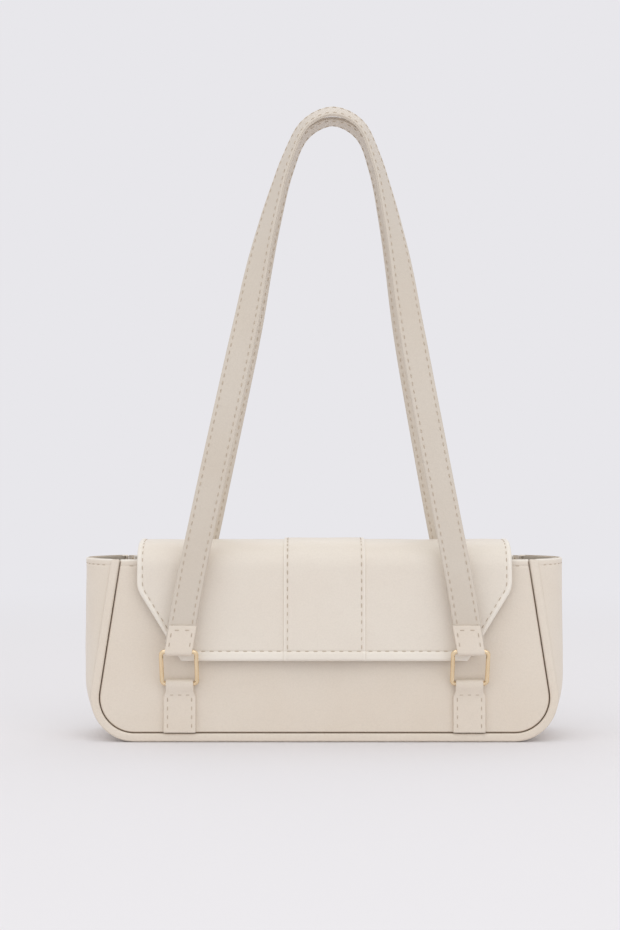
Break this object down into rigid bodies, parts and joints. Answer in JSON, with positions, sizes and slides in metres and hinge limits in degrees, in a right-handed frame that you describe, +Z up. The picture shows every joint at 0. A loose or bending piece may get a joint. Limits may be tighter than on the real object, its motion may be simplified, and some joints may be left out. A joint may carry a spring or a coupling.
{
  "type": "baguette bag",
  "caption": "Long narrow shoulder bag with a rounded body, an over-the-top flap with a wide centre strip and slim handles on wire rings.",
  "frame": {"origin": "middle of the body's footprint, on the surface that the bag stands on", "axes": "+Z up, +X along the bag, -Y towards the flap's front edge"},
  "size_m": [0.3, 0.1004, 0.3949],
  "materials": {
    "cream_leather": "smooth, low sheen",
    "lining_cloth": "fine twill",
    "base_board": "fibre board",
    "gold_metal": "polished pale gold"
  },
  "bodies": {
    "bag_body": {"front_panel": "cream_leather", "back_panel": "cream_leather", "gusset": "cream_leather", "front_welt": "cream_leather", "back_welt": "cream_leather", "front_lining": "lining_cloth", "back_lining": "lining_cloth", "gusset_lining": "lining_cloth", "front_facing": "cream_leather", "back_facing": "cream_leather", "inner_pocket": "lining_cloth", "base_board": "base_board", "snap_socket": "gold_metal", "snap_socket_plate": "gold_metal", "flap_tail": "cream_leather", "front_tab_left": "cream_leather", "front_tab_right": "cream_leather", "back_tab_left": "cream_leather", "back_tab_right": "cream_leather"},
    "flap": {"flap_left_panel": "cream_leather", "flap_right_panel": "cream_leather", "flap_center_strip": "cream_leather", "flap_lining": "cream_leather", "snap_stud": "gold_metal", "snap_stud_plate": "gold_metal"},
    "front_left_link": {"front_ring_left": "gold_metal"},
    "front_right_link": {"front_ring_right": "gold_metal"},
    "back_left_link": {"back_ring_left": "gold_metal"},
    "back_right_link": {"back_ring_right": "gold_metal"},
    "front_handle": {"front_strap_face": "cream_leather", "front_strap_backing": "cream_leather", "front_loop_left": "cream_leather", "front_loop_right": "cream_leather"},
    "back_handle": {"back_strap_face": "cream_leather", "back_strap_backing": "cream_leather", "back_loop_left": "cream_leather", "back_loop_right": "cream_leather"}
  },
  "joints": [
    {"name": "flap_lift", "type": "hinge", "parent": "bag_body", "child": "flap", "pos_m": [0, 0.03113, 0.11352], "axis": [-1, 0, 0], "range_deg": [0, 80]},
    {"name": "front_ring_left_swing", "type": "hinge", "parent": "bag_body", "child": "front_left_link", "pos_m": [-0.0888, -0.03643, 0.03609], "axis": [1, 0, 0], "range_deg": [0, 136]},
    {"name": "front_ring_right_swing", "type": "hinge", "parent": "bag_body", "child": "front_right_link", "pos_m": [0.0888, -0.03643, 0.03609], "axis": [1, 0, 0], "range_deg": [0, 136]},
    {"name": "front_handle_swing", "type": "hinge", "parent": "front_left_link", "child": "front_handle", "pos_m": [-0.0888, -0.04687, 0.05658], "axis": [1, 0, 0], "range_deg": [-40, 0]},
    {"name": "back_ring_left_swing", "type": "hinge", "parent": "bag_body", "child": "back_left_link", "pos_m": [-0.0888, 0.03643, 0.03609], "axis": [-1, 0, 0], "range_deg": [0, 136]},
    {"name": "back_ring_right_swing", "type": "hinge", "parent": "bag_body", "child": "back_right_link", "pos_m": [0.0888, 0.03643, 0.03609], "axis": [-1, 0, 0], "range_deg": [0, 136]},
    {"name": "back_handle_swing", "type": "hinge", "parent": "back_left_link", "child": "back_handle", "pos_m": [-0.0888, 0.04687, 0.05658], "axis": [-1, 0, 0], "range_deg": [-40.8, 0]}
  ],
  "couplings": [
    {"joint": "front_ring_left_swing", "follows": "flap_lift", "ratio": 1.7},
    {"joint": "front_ring_right_swing", "follows": "flap_lift", "ratio": 1.7},
    {"joint": "front_handle_swing", "follows": "flap_lift", "ratio": -0.5},
    {"joint": "back_ring_right_swing", "follows": "back_ring_left_swing", "ratio": 1},
    {"joint": "back_handle_swing", "follows": "back_ring_left_swing", "ratio": -0.3}
  ]
}
